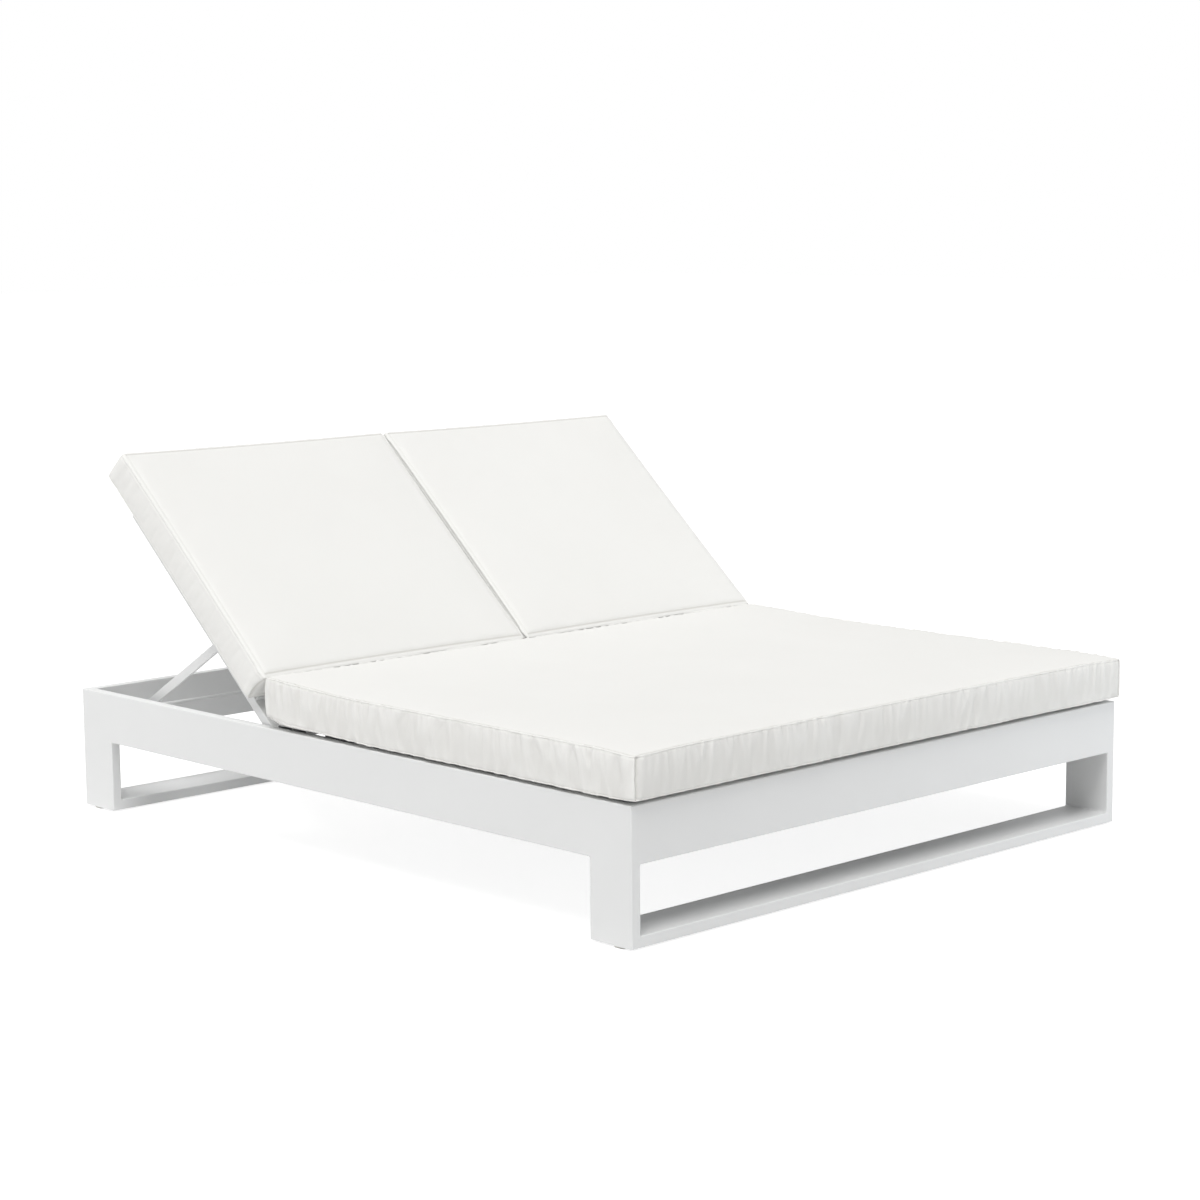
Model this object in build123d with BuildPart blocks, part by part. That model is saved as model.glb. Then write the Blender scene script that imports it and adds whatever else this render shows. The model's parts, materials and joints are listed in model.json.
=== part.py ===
"""Double chaise lounger: a wide aluminium daybed with two tilting backs side by side.

X runs across the bed, Y from the foot to the head, Z up. The origin is on the floor, under
the middle of the bed frame. Lengths are in millimetres. Each back is drawn at the tilt that
it rests at, with its prop standing over the notched racks.
"""

import os
from math import atan2, cos, degrees, hypot, radians, sin, sqrt

from build123d import *

os.makedirs("parts", exist_ok=True)

# Bed frame, welded from one flat tube
bed_length = 2000.0
bed_width = 1650.0
rail_top = 305.0
flat_tube_width = 125.0
tube_thickness = 25.0
flat_tube_wall = 2.5
tube_edge_radius = 2.5
weld_radius = 6.0

# Floor glides, bonded to the underside of the stretchers
glide_height = 5.0
glide_length = 32.0
glide_width = 18.0
glide_from_corner = 46.0
glide_chamfer = 1.5

# Deck under the seat cushion
deck_rise = 5.7
slat_thickness = 12.0
slat_wall = 1.6
slat_cells = 2
slat_end_gap = 1.5
seat_slat_width = 110.0
seat_slat_count = 7
seat_slat_foot_gap = 12.0
seat_slat_hinge_gap = 28.0
ledger_width = 25.0
ledger_wall = 3.0
beam_depth = 80.0
brace_width = 50.0
brace_from_hinge = 110.0

# Hinges of the backs
hinge_from_head = 760.0
hinge_side_gap = 3.0
pin_diameter = 10.0
pin_head_diameter = 18.0
pin_head_height = 4.0
pin_root_length = 10.0
bush_diameter = 14.0
bush_flange_diameter = 20.0
bush_rim = 0.7
running_gap = 0.05
seated_gap = 0.3

# Backs, each a mitred frame of square tube with slats on top
back_tilt = 41.5
flattest_tilt = 0.0
steepest_tilt = 56.0
square_tube_wall = 2.0
back_head_gap = 10.0
back_tail = 18.0
back_slat_width = 85.0
back_slat_count = 5
back_slat_start = 92.0
back_crossbar_start = 100.0

# Props, each two flat arms and a round foot rod
prop_pivot_share = 0.4028
prop_foot_drop = 12.0
prop_foot_pad_gap = 12.8
prop_turn_share = 0.66
prop_arm_width = 22.0
prop_arm_thickness = 8.0
foot_rod_diameter = 10.0
foot_rod_end_gap = 1.0
bolt_diameter = 8.0
bolt_head_diameter = 16.0
bolt_head_height = 4.0
bolt_tail = 8.0

# Racks that the foot rods ride over, and pads that the flat backs land on
rack_thickness = 8.0
rack_depth = 34.0
rack_lead = 24.0
rack_run_out = 8.0
rack_clearance = 0.5
rack_top_count = 9
rack_corner_chamfer = 4.0
notch_depth = 7.0
notch_play = 0.4
notch_lean = 18.0
notch_tilts = (14.0, 28.0, back_tilt, steepest_tilt)
pad_length = 20.0
pad_width = 18.0
pad_height = 15.0
pad_inset = 3.0
pad_chamfer = 2.0

# Cushions
seat_cushion_thickness = 93.0
seat_cushion_foot_overhang = 14.0
seat_cushion_hinge_gap = 20.0
back_cushion_thickness = 92.0
back_cushion_start = 88.0
back_cushion_overhang = 101.0
back_cushion_gap = 7.0
cushion_side_overhang = 4.0
cushion_crown = 9.0
cushion_seam_crown = 1.0
cushion_draw_in = 5.0
cushion_seam_width = 5.0

overrun = 1.0

# Places worked out from the sizes above
half_length = bed_length / 2
half_width = bed_width / 2
half_tube = tube_thickness / 2
rail_bottom = rail_top - flat_tube_width
rail_middle = rail_top - flat_tube_width / 2
inner_half_length = half_length - tube_thickness
inner_half_width = half_width - tube_thickness
leg_middle_y = half_length - flat_tube_width / 2
leg_inner_y = half_length - flat_tube_width
side_middle_x = half_width - half_tube
end_middle_y = half_length - half_tube
deck_top = rail_top + deck_rise
deck_underside = deck_top - slat_thickness
beam_bottom = deck_underside - beam_depth
hinge_y = half_length - hinge_from_head
hinge_z = deck_underside - half_tube
back_frame_reach = hinge_from_head - tube_thickness - back_head_gap
rod_radius = foot_rod_diameter / 2

SIDES = ((-1, "left"), (1, "right"))
ENDS = ((-1, "foot"), (1, "head"))
PLACES = ((1, "outer"), (-1, "inner"))


def finish(piece, label):
    """Name a finished piece, write its file and print its solids and volume."""
    piece.part.label = label
    export_step(piece.part, f"parts/{label}.step")
    print(label, len(piece.part.solids()), round(piece.part.volume))


def across(x):
    """A plane square to X, drawn on with Y to the right and Z up. It faces +X."""
    return Plane(origin=(x, 0, 0), x_dir=(0, 1, 0), z_dir=(1, 0, 0))


def along(y):
    """A plane square to Y, drawn on with X to the right and Z up. It faces the foot."""
    return Plane(origin=(0, y, 0), x_dir=(1, 0, 0), z_dir=(0, -1, 0))


back_axes = Plane(
    origin=(0, hinge_y, hinge_z),
    x_dir=(1, 0, 0),
    z_dir=(0, -sin(radians(back_tilt)), cos(radians(back_tilt))),
)


def on_back(plane):
    """Carry a plane from back axes (x across, y up the back, z out of it) to the tilted back."""
    return Plane(back_axes.location * plane.location)


def on_bed(plane):
    """Leave a plane where the bed has it."""
    return plane


# Rail outlines
# The four rails are mitred in plan. The legs are fitted to these outlines, because leg and
# rail are welded and ground flush, with no groove between them.


def rail_mitre(side, end):
    """The upright plane of a corner's mitre. The side rail lies in front of it."""
    corner = (side * half_width, end * half_length, 0)
    return Plane(origin=corner, x_dir=(0, 0, 1), z_dir=(side, -end, 0))


def leg_mitre(side):
    """The plane between a leg and its stretcher. The leg lies in front of it."""
    corner = (side * half_width, 0, glide_height)
    return Plane(origin=corner, x_dir=(0, 1, 0), z_dir=(side, 0, 1))


side_outlines = {}
end_outlines = {}

with BuildSketch() as corner_waste:
    with GridLocations(bed_width, bed_length, 2, 2):
        Rectangle(2 * tube_edge_radius, 2 * tube_edge_radius)
    with GridLocations(bed_width - 2 * tube_edge_radius, bed_length - 2 * tube_edge_radius, 2, 2):
        Circle(tube_edge_radius, mode=Mode.SUBTRACT)

for side, side_name in SIDES:
    with BuildPart() as outline:
        with BuildSketch(along(half_length)):
            with Locations((side * side_middle_x, rail_middle)):
                RectangleRounded(tube_thickness, flat_tube_width, tube_edge_radius)
        extrude(amount=bed_length)
        for end, end_name in ENDS:
            split(bisect_by=rail_mitre(side, end), keep=Keep.TOP)
        with BuildSketch():
            add(corner_waste.sketch)
        extrude(amount=rail_top + overrun, mode=Mode.SUBTRACT)
    side_outlines[side] = outline.part

for end, end_name in ENDS:
    with BuildPart() as outline:
        with BuildSketch(across(-half_width)):
            with Locations((end * end_middle_y, rail_middle)):
                RectangleRounded(tube_thickness, flat_tube_width, tube_edge_radius)
        extrude(amount=bed_width)
        for side, side_name in SIDES:
            split(bisect_by=rail_mitre(side, end), keep=Keep.BOTTOM)
        with BuildSketch():
            add(corner_waste.sketch)
        extrude(amount=rail_top + overrun, mode=Mode.SUBTRACT)
    end_outlines[end] = outline.part

# Weld beads
# A bead is a strip with a hollow face that fills an inner corner of the frame.

bead_hollow = weld_radius * (1 - sqrt(0.5))

with BuildSketch() as bead_section:
    with BuildLine():
        Line((0, 0), (weld_radius, 0))
        ThreePointArc((weld_radius, 0), (bead_hollow, bead_hollow), (0, weld_radius))
        Line((0, weld_radius), (0, 0))
    make_face()


def bead_plane(corner, first, second):
    """The plane of a bead's section: its two flat faces run from the corner along these."""
    return Plane(origin=corner, x_dir=first, z_dir=Vector(*first).cross(Vector(*second)))


# Path of the foot rods
# The foot of a prop follows this path as its back tilts. The prop turns by a steady share of
# the back's own turn, which keeps its foot rod just above the teeth of the racks. The prop is
# as long as brings the rod up to the landing pads when the back lies flat.

pad_start = back_frame_reach - pad_inset - pad_length
prop_pivot_reach = back_frame_reach * prop_pivot_share
prop_turn = radians(prop_turn_share * (back_tilt - flattest_tilt))
prop_fall = prop_pivot_reach * sin(radians(back_tilt)) + prop_foot_drop
prop_flat_run = pad_start - prop_foot_pad_gap - prop_pivot_reach
prop_run = (prop_flat_run - prop_fall * sin(prop_turn)) / cos(prop_turn)
prop_length = hypot(prop_run, prop_fall)
prop_dip = degrees(atan2(prop_fall, prop_run))


def prop_pivot(tilt):
    """Where the prop hangs from the back, as Y and Z, at a tilt of the back."""
    turn = radians(tilt)
    return (
        hinge_y + prop_pivot_reach * cos(turn),
        hinge_z + prop_pivot_reach * sin(turn),
    )


def prop_foot(tilt):
    """Where the middle of the foot rod is, as Y and Z, at a tilt of the back."""
    pivot_y, pivot_z = prop_pivot(tilt)
    dip = radians(prop_dip + prop_turn_share * (tilt - back_tilt))
    return (pivot_y + prop_length * cos(dip), pivot_z - prop_length * sin(dip))


# Layout across a back
# Distances from the middle line of a back to the faces of what lies beside its tubes.

back_outer_face = inner_half_width - hinge_side_gap
back_inner_face = half_tube + hinge_side_gap
back_middle = (back_outer_face + back_inner_face) / 2
back_half_width = (back_outer_face - back_inner_face) / 2
carrier_offset = back_half_width + hinge_side_gap
tube_offset = back_half_width - half_tube
tube_inner_offset = back_half_width - tube_thickness
arm_offset = tube_inner_offset - seated_gap
arm_inner_offset = arm_offset - prop_arm_thickness

# The faces that carry hinges and racks: each back has one on its side rail and one on the
# centre beam. The number after a face's place points from it to the back.
carriers = {
    (side_name, place): (side * (back_middle + out * carrier_offset), -side * out)
    for side, side_name in SIDES
    for out, place in PLACES
}

# Racks
# Notched plates welded to the side rails and the centre beam. The top edge runs from point to
# point just under the path of the foot rod.

rod_reach = rod_radius + rack_clearance
notch_radius = rod_radius + notch_play


def foot_direction(tilt):
    """The direction in which the foot rod moves as its back rises, as Y and Z."""
    turn = radians(tilt)
    dip = radians(prop_dip + prop_turn_share * (tilt - back_tilt))
    step_y = -prop_pivot_reach * sin(turn) - prop_turn_share * prop_length * sin(dip)
    step_z = prop_pivot_reach * cos(turn) - prop_turn_share * prop_length * cos(dip)
    return (step_y / hypot(step_y, step_z), step_z / hypot(step_y, step_z))


def rack_top(tilt):
    """The point of a rack's top edge that is square under the foot rod, as Y and Z."""
    foot_y, foot_z = prop_foot(tilt)
    step_y, step_z = foot_direction(tilt)
    return (foot_y - step_z * rod_reach, foot_z + step_y * rod_reach)


top_step = (steepest_tilt - flattest_tilt) / (rack_top_count - 1)
rack_tops = [rack_top(steepest_tilt - number * top_step) for number in range(rack_top_count)]
fall_y, fall_z = foot_direction(flattest_tilt)
rack_start = rack_tops[0][0] - rack_lead
rack_end = rack_tops[-1][0] - fall_y * rack_run_out
rack_end_top = rack_tops[-1][1] - fall_z * rack_run_out
rack_bottom = min(top_z for top_y, top_z in rack_tops) - rack_depth

for (side_name, place), (carrier_x, inward) in carriers.items():
    with BuildPart() as rack:
        with BuildSketch(across(carrier_x)):
            with BuildLine():
                Polyline(
                    (rack_start, rack_tops[0][1]),
                    *rack_tops,
                    (rack_end, rack_end_top),
                    (rack_end, rack_bottom),
                    (rack_start, rack_bottom),
                    close=True,
                )
            make_face()
            ends = vertices().group_by(Axis.X)
            chamfer(ends[0] + ends[-1], rack_corner_chamfer)
            for tilt in notch_tilts:
                foot_y, foot_z = prop_foot(tilt)
                with Locations((foot_y, foot_z - notch_depth)):
                    Circle(notch_radius, mode=Mode.SUBTRACT)
                    Rectangle(
                        2 * notch_radius,
                        notch_depth + rod_reach,
                        rotation=notch_lean,
                        align=(Align.CENTER, Align.MIN),
                        mode=Mode.SUBTRACT,
                    )
        extrude(amount=inward * rack_thickness)
    finish(rack, f"prop_rack_{side_name}_{place}")

# Side rails
# A long flat tube on edge, with a hole in its inner wall for a hinge pin.

core_width = tube_thickness - 2 * flat_tube_wall
core_depth = flat_tube_width - 2 * flat_tube_wall
bead_half_length = half_tube - tube_edge_radius

for side, side_name in SIDES:
    carrier_x, inward = carriers[side_name, "outer"]
    with BuildPart() as side_rail:
        add(side_outlines[side])
        with BuildSketch(along(half_length)):
            with Locations((side * side_middle_x, rail_middle)):
                Rectangle(core_width, core_depth)
        extrude(amount=bed_length, mode=Mode.SUBTRACT)
        with BuildSketch(across(carrier_x + inward * overrun)):
            with Locations((hinge_y, hinge_z)):
                Circle(pin_diameter / 2 + running_gap)
        extrude(amount=-inward * (flat_tube_wall + 2 * overrun), mode=Mode.SUBTRACT)
        for end, end_name in ENDS:
            corner = (side * side_middle_x, end * leg_inner_y, rail_bottom)
            with BuildSketch(bead_plane(corner, (0, -end, 0), (0, 0, -1))):
                add(bead_section.sketch)
            extrude(amount=bead_half_length, both=True)
    finish(side_rail, f"side_rail_{side_name}")

# End rails
# The same tube across the foot and the head.

for end, end_name in ENDS:
    with BuildPart() as end_rail:
        add(end_outlines[end])
        with BuildSketch(across(-half_width)):
            with Locations((end * end_middle_y, rail_middle)):
                Rectangle(core_width, core_depth)
        extrude(amount=bed_width, mode=Mode.SUBTRACT)
        for side, side_name in SIDES:
            corner = (side * inner_half_width, end * end_middle_y, rail_bottom)
            with BuildSketch(bead_plane(corner, (-side, 0, 0), (0, 0, -1))):
                add(bead_section.sketch)
            extrude(amount=bead_half_length, both=True)
    finish(end_rail, f"{end_name}_rail")

# Legs
# The flat tube turned upright, mitred to the stretcher below and fitted to the rails above.
# The legs at the head mirror those at the foot.

for side, side_name in SIDES:
    with BuildPart() as foot_leg:
        with BuildSketch(Plane.XY.offset(glide_height)):
            with Locations((side * side_middle_x, -leg_middle_y)):
                RectangleRounded(tube_thickness, flat_tube_width, tube_edge_radius)
                Rectangle(core_width, core_depth, mode=Mode.SUBTRACT)
        extrude(amount=rail_bottom + tube_edge_radius - glide_height)
        split(bisect_by=leg_mitre(side), keep=Keep.TOP)
        add(side_outlines[side], mode=Mode.SUBTRACT)
        add(end_outlines[-1], mode=Mode.SUBTRACT)
    finish(foot_leg, f"leg_foot_{side_name}")

    with BuildPart() as head_leg:
        mirror(foot_leg.part, about=Plane.XZ)
    finish(head_leg, f"leg_head_{side_name}")

# Stretchers
# The flat tube lying down between two legs.

stretcher_middle = glide_height + half_tube

for end, end_name in ENDS:
    with BuildPart() as stretcher:
        with BuildSketch(across(-half_width)):
            with Locations((end * leg_middle_y, stretcher_middle)):
                RectangleRounded(flat_tube_width, tube_thickness, tube_edge_radius)
                Rectangle(core_depth, core_width, mode=Mode.SUBTRACT)
        extrude(amount=bed_width)
        for side, side_name in SIDES:
            split(bisect_by=leg_mitre(side), keep=Keep.BOTTOM)
            corner = (side * inner_half_width, end * leg_middle_y, glide_height + tube_thickness)
            with BuildSketch(bead_plane(corner, (-side, 0, 0), (0, 0, 1))):
                add(bead_section.sketch)
            extrude(amount=flat_tube_width / 2 - tube_edge_radius, both=True)
    finish(stretcher, f"{end_name}_stretcher")

# Floor glides

glide_spots = [
    (side * side_middle_x, end * (half_length - glide_from_corner))
    for side, side_name in SIDES
    for end, end_name in ENDS
]

with BuildPart() as glides:
    with BuildSketch():
        with Locations(*glide_spots):
            SlotOverall(glide_length, glide_width, rotation=90)
    extrude(amount=glide_height)
    chamfer(faces().filter_by(Axis.Z).group_by(Axis.Z)[0].edges(), glide_chamfer)
finish(glides, "floor_glides")

# Centre beam
# It carries the middle of the slats, and the inner hinges and racks of both backs.

with BuildPart() as centre_beam:
    with BuildSketch(along(inner_half_length)):
        with Locations((0, (deck_underside + beam_bottom) / 2)):
            Rectangle(tube_thickness, beam_depth)
            Rectangle(core_width, beam_depth - 2 * flat_tube_wall, mode=Mode.SUBTRACT)
    extrude(amount=2 * inner_half_length)
    with BuildSketch(across(-half_tube - overrun)):
        with Locations((hinge_y, hinge_z)):
            Circle(pin_diameter / 2 + running_gap)
    extrude(amount=tube_thickness + 2 * overrun, mode=Mode.SUBTRACT)
finish(centre_beam, "centre_beam")

# Cross brace
# A tube from side rail to side rail that bears the centre beam near the hinges.

with BuildPart() as cross_brace:
    with BuildSketch(across(-inner_half_width)):
        with Locations((hinge_y - brace_from_hinge, beam_bottom - half_tube)):
            Rectangle(brace_width, tube_thickness)
            Rectangle(brace_width - 2 * flat_tube_wall, core_width, mode=Mode.SUBTRACT)
    extrude(amount=2 * inner_half_width)
finish(cross_brace, "cross_brace")

# Ledgers
# Angles along the side rails that the ends of the seat slats lie on.

deck_end = hinge_y - seat_slat_hinge_gap
ledger_length = deck_end + inner_half_length

for side, side_name in SIDES:
    with BuildPart() as ledger:
        with BuildSketch(along(deck_end)):
            with BuildLine():
                Polyline(
                    (side * inner_half_width, deck_underside),
                    (side * (inner_half_width - ledger_width), deck_underside),
                    (side * (inner_half_width - ledger_width), deck_underside - ledger_wall),
                    (side * (inner_half_width - ledger_wall), deck_underside - ledger_wall),
                    (side * (inner_half_width - ledger_wall), deck_underside - ledger_width),
                    (side * inner_half_width, deck_underside - ledger_width),
                    close=True,
                )
            make_face()
        extrude(amount=ledger_length)
    finish(ledger, f"seat_ledger_{side_name}")

# Seat slats
# Hollow planks with inner webs, laid across the ledgers and the centre beam.


def slat_cell_width(width):
    """The width of one hollow cell in a slat of this width."""
    return (width - (slat_cells + 1) * slat_wall) / slat_cells


seat_slat_first = -inner_half_length + seat_slat_foot_gap + seat_slat_width / 2
seat_slat_last = deck_end - seat_slat_width / 2
seat_slat_pitch = (seat_slat_last - seat_slat_first) / (seat_slat_count - 1)
cell_height = slat_thickness - 2 * slat_wall
seat_cell_width = slat_cell_width(seat_slat_width)
seat_slat_length = 2 * (inner_half_width - slat_end_gap)

for number in range(seat_slat_count):
    slat_y = seat_slat_first + number * seat_slat_pitch
    with BuildPart() as seat_slat:
        with BuildSketch(across(-seat_slat_length / 2)):
            with Locations((slat_y, deck_top - slat_thickness / 2)):
                Rectangle(seat_slat_width, slat_thickness)
                with GridLocations(seat_cell_width + slat_wall, 0, slat_cells, 1):
                    Rectangle(seat_cell_width, cell_height, mode=Mode.SUBTRACT)
        extrude(amount=seat_slat_length)
    finish(seat_slat, f"seat_slat_{number + 1}")

# Hinge pins
# Headed pins set through the wall of a side rail or the centre beam. The backs turn on them.

pin_length = hinge_side_gap + tube_thickness + bush_rim + seated_gap

with BuildPart() as hinge_pins:
    for carrier_x, inward in carriers.values():
        with BuildSketch(across(carrier_x - inward * pin_root_length)):
            with Locations((hinge_y, hinge_z)):
                Circle(pin_diameter / 2)
        extrude(amount=inward * (pin_root_length + pin_length))
        with BuildSketch(across(carrier_x + inward * pin_length)):
            with Locations((hinge_y, hinge_z)):
                Circle(pin_head_diameter / 2)
        extrude(amount=inward * pin_head_height)
finish(hinge_pins, "hinge_pins")

# Landing pads
# Plastic blocks under the far ends of the backs, where the tubes land when they lie flat.

pad_middle_y = hinge_y + pad_start + pad_length / 2
pad_top = hinge_z - half_tube - seated_gap

with BuildPart() as landing_pads:
    for carrier_x, inward in carriers.values():
        with BuildSketch(across(carrier_x)):
            with Locations((pad_middle_y, pad_top - pad_height / 2)):
                Rectangle(pad_length, pad_height)
                chamfer(vertices(), pad_chamfer)
        extrude(amount=inward * pad_width)
finish(landing_pads, "landing_pads")

# Backs
# Two side tubes and a top tube, mitred together, a crossbar near the hinge and slats on top.

square_core = tube_thickness - 2 * square_tube_wall
back_slat_pitch = (back_frame_reach - back_slat_start - back_slat_width) / (back_slat_count - 1)
back_cell_width = slat_cell_width(back_slat_width)


def back_mitre(side, out):
    """The plane of a top corner's mitre, on the tilted back. The side tube lies in front."""
    corner = (side * (back_middle + out * back_half_width), back_frame_reach, 0)
    return on_back(Plane(origin=corner, x_dir=(0, 0, 1), z_dir=(side * out, -1, 0)))


for side, side_name in SIDES:
    for out, place in PLACES:
        with BuildPart() as side_tube:
            with BuildSketch(on_back(along(back_frame_reach))):
                with Locations((side * (back_middle + out * tube_offset), 0)):
                    RectangleRounded(tube_thickness, tube_thickness, tube_edge_radius)
            extrude(amount=back_frame_reach + back_tail)
            with BuildSketch(on_back(along(back_frame_reach))):
                with Locations((side * (back_middle + out * tube_offset), 0)):
                    Rectangle(square_core, square_core)
            extrude(
                amount=back_frame_reach + back_tail - square_tube_wall, mode=Mode.SUBTRACT
            )
            split(bisect_by=back_mitre(side, out), keep=Keep.TOP)
            hole_start = on_back(across(side * (back_middle + out * (tube_inner_offset - overrun))))
            with BuildSketch(hole_start):
                Circle(bush_diameter / 2 + running_gap)
            extrude(amount=side * out * (tube_thickness + 2 * overrun), mode=Mode.SUBTRACT)
            with BuildSketch(hole_start):
                with Locations((prop_pivot_reach, 0)):
                    Circle(bolt_diameter / 2 + running_gap)
            extrude(amount=side * out * (square_tube_wall + 2 * overrun), mode=Mode.SUBTRACT)
        finish(side_tube, f"back_{side_name}_side_tube_{place}")

    with BuildPart() as top_tube:
        with BuildSketch(on_back(across(side * back_middle - back_half_width))):
            with Locations((back_frame_reach - half_tube, 0)):
                RectangleRounded(tube_thickness, tube_thickness, tube_edge_radius)
                Rectangle(square_core, square_core, mode=Mode.SUBTRACT)
        extrude(amount=2 * back_half_width)
        for out, place in PLACES:
            split(bisect_by=back_mitre(side, out), keep=Keep.BOTTOM)
    finish(top_tube, f"back_{side_name}_top_tube")

    with BuildPart() as crossbar:
        with BuildSketch(on_back(across(side * back_middle - tube_inner_offset))):
            with Locations((back_crossbar_start + half_tube, 0)):
                Rectangle(tube_thickness, tube_thickness)
                Rectangle(square_core, square_core, mode=Mode.SUBTRACT)
        extrude(amount=2 * tube_inner_offset)
    finish(crossbar, f"back_{side_name}_crossbar")

    for number in range(back_slat_count):
        reach = back_slat_start + back_slat_width / 2 + number * back_slat_pitch
        with BuildPart() as back_slat:
            with BuildSketch(on_back(across(side * back_middle - back_half_width))):
                with Locations((reach, half_tube + slat_thickness / 2)):
                    Rectangle(back_slat_width, slat_thickness)
                    with GridLocations(back_cell_width + slat_wall, 0, slat_cells, 1):
                        Rectangle(back_cell_width, cell_height, mode=Mode.SUBTRACT)
            extrude(amount=2 * back_half_width)
        finish(back_slat, f"back_{side_name}_slat_{number + 1}")

    # Flanged bushes that line the holes for the hinge pins
    with BuildPart() as bushes:
        for out, place in PLACES:
            carrier_x, inward = carriers[side_name, place]
            flange_x = carrier_x + inward * seated_gap
            with BuildSketch(across(flange_x)):
                with Locations((hinge_y, hinge_z)):
                    Circle(bush_flange_diameter / 2)
            extrude(amount=inward * (hinge_side_gap - seated_gap))
            with BuildSketch(across(flange_x)):
                with Locations((hinge_y, hinge_z)):
                    Circle(bush_diameter / 2)
            extrude(amount=inward * (pin_length - 2 * seated_gap))
            with BuildSketch(across(carrier_x)):
                with Locations((hinge_y, hinge_z)):
                    Circle(pin_diameter / 2 + running_gap)
            extrude(amount=inward * pin_length, mode=Mode.SUBTRACT)
    finish(bushes, f"back_{side_name}_hinge_bushes")

    # Bolts that the prop's arms hang on
    pivot_y, pivot_z = prop_pivot(back_tilt)
    bolt_length = bolt_tail + square_tube_wall + prop_arm_thickness + 2 * seated_gap
    with BuildPart() as bolts:
        for out, place in PLACES:
            inward = -side * out
            head_x = side * (back_middle + out * arm_inner_offset) + inward * seated_gap
            with BuildSketch(across(head_x)):
                with Locations((pivot_y, pivot_z)):
                    Circle(bolt_diameter / 2)
            extrude(amount=-inward * bolt_length)
            with BuildSketch(across(head_x)):
                with Locations((pivot_y, pivot_z)):
                    Circle(bolt_head_diameter / 2)
            extrude(amount=inward * bolt_head_height)
    finish(bolts, f"back_{side_name}_prop_bolts")

# Props
# Two flat arms hang from the back's side tubes and are welded to the foot rod.

foot_y, foot_z = prop_foot(back_tilt)
arm_middle = ((pivot_y + foot_y) / 2, (pivot_z + foot_z) / 2)

for side, side_name in SIDES:
    for out, place in PLACES:
        with BuildPart() as arm:
            with BuildSketch(across(side * (back_middle + out * arm_offset))):
                with Locations(arm_middle):
                    SlotCenterToCenter(prop_length, prop_arm_width, rotation=-prop_dip)
            extrude(amount=-side * out * prop_arm_thickness)
            with BuildSketch(across(side * (back_middle + out * (arm_offset + overrun)))):
                with Locations((pivot_y, pivot_z)):
                    Circle(bolt_diameter / 2 + running_gap)
                with Locations((foot_y, foot_z)):
                    Circle(rod_radius + running_gap)
            extrude(
                amount=-side * out * (prop_arm_thickness + 2 * overrun), mode=Mode.SUBTRACT
            )
        finish(arm, f"prop_{side_name}_arm_{place}")

    rod_half_length = carrier_offset - foot_rod_end_gap
    with BuildPart() as foot_rod:
        with BuildSketch(across(side * back_middle - rod_half_length)):
            with Locations((foot_y, foot_z)):
                Circle(rod_radius)
        extrude(amount=2 * rod_half_length)
    finish(foot_rod, f"prop_{side_name}_foot_rod")

# Cushions
# Boxed foam cushions. The top is crowned, the long sides draw in between the corners, and the
# underside is flat where it lies on the slats.


def cushion(on_carrier, middle_x, far_end, length, width, underside, thickness):
    """A cushion lofted from its far end to its near end, on the bed or on a tilted back."""
    with BuildPart() as pad:
        for share in (0, 0.5, 1):
            fullness = 4 * share * (1 - share)
            left = middle_x - width / 2 + fullness * cushion_draw_in
            right = middle_x + width / 2 - fullness * cushion_draw_in
            crown = cushion_seam_crown + fullness * (cushion_crown - cushion_seam_crown)
            top = underside + thickness
            with BuildSketch(on_carrier(along(far_end - share * length))):
                with BuildLine():
                    Polyline((left, top), (left, underside), (right, underside), (right, top))
                    ThreePointArc((right, top), (middle_x, top + crown), (left, top))
                make_face()
        loft()
        for sign, end in ((1, far_end), (-1, far_end - length)):
            reach = width / 2 + overrun
            with BuildSketch(on_carrier(Plane.XY.offset(underside - overrun))):
                with BuildLine():
                    ThreePointArc(
                        (middle_x + reach, end),
                        (middle_x, end - sign * cushion_draw_in),
                        (middle_x - reach, end),
                    )
                    Polyline(
                        (middle_x - reach, end),
                        (middle_x - reach, end + sign * overrun),
                        (middle_x + reach, end + sign * overrun),
                        (middle_x + reach, end),
                    )
                make_face()
            extrude(amount=thickness + cushion_crown + 2 * overrun, mode=Mode.SUBTRACT)
        chamfer(edges(), cushion_seam_width)
    return pad


seat_cushion_end = hinge_y - seat_cushion_hinge_gap
seat_cushion_length = seat_cushion_end + half_length + seat_cushion_foot_overhang
finish(
    cushion(
        on_bed,
        0,
        seat_cushion_end,
        seat_cushion_length,
        bed_width + 2 * cushion_side_overhang,
        deck_top + seated_gap,
        seat_cushion_thickness,
    ),
    "seat_cushion",
)

back_cushion_width = half_width + cushion_side_overhang - back_cushion_gap / 2
back_cushion_length = back_frame_reach + back_cushion_overhang - back_cushion_start

for side, side_name in SIDES:
    finish(
        cushion(
            on_back,
            side * (back_cushion_gap + back_cushion_width) / 2,
            back_cushion_start + back_cushion_length,
            back_cushion_length,
            back_cushion_width,
            half_tube + slat_thickness + seated_gap,
            back_cushion_thickness,
        ),
        f"back_{side_name}_cushion",
    )
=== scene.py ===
# %% [markdown]
# # A double chaise lounger, from frame to fabric
#
# The lounger is a wide aluminium daybed: white powder-coated tube, one broad seat cushion and
# two backs side by side. The hard pieces come ready made, at their real size, so this lesson
# gives them their finishes and makes what is soft: three boxed cushions with sewn lips.

# %% Load the frame
import json
from math import hypot, pi, radians, sin

import bmesh
import bpy
from mathutils import Matrix, Vector, noise

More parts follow.
